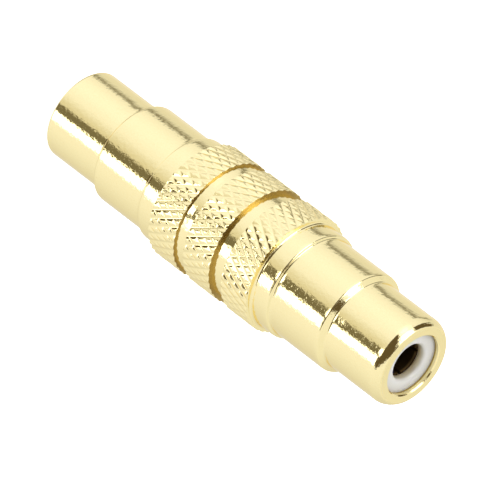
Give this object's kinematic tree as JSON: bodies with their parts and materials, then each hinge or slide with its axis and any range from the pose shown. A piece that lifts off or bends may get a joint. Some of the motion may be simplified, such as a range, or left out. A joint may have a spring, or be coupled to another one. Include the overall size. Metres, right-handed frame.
{
  "type": "phono coupler",
  "caption": "Straight socket-to-socket phono coupler with a knurled gold-plated brass shell and a slotted spring contact behind a white insulator at each end.",
  "frame": {"origin": "centre of the rear mouth's plane, on which the coupler stands", "axes": "+Z along the axis from the rear mouth to the front mouth; the part is round, so +X and +Y are any two directions across it"},
  "size_m": [0.011, 0.011, 0.041],
  "materials": {
    "gold_plate": "thin pale gold plating over turned and knurled brass, bright",
    "insulator": "white moulded plastic, satin",
    "contact_plate": "gold plating over brass, bright"
  },
  "bodies": {
    "root": {"rear_shell": "gold_plate", "front_shell": "gold_plate", "rear_insulator": "insulator", "front_insulator": "insulator", "rear_contact": "contact_plate", "front_contact": "contact_plate", "link_pin": "contact_plate"}
  },
  "joints": []
}
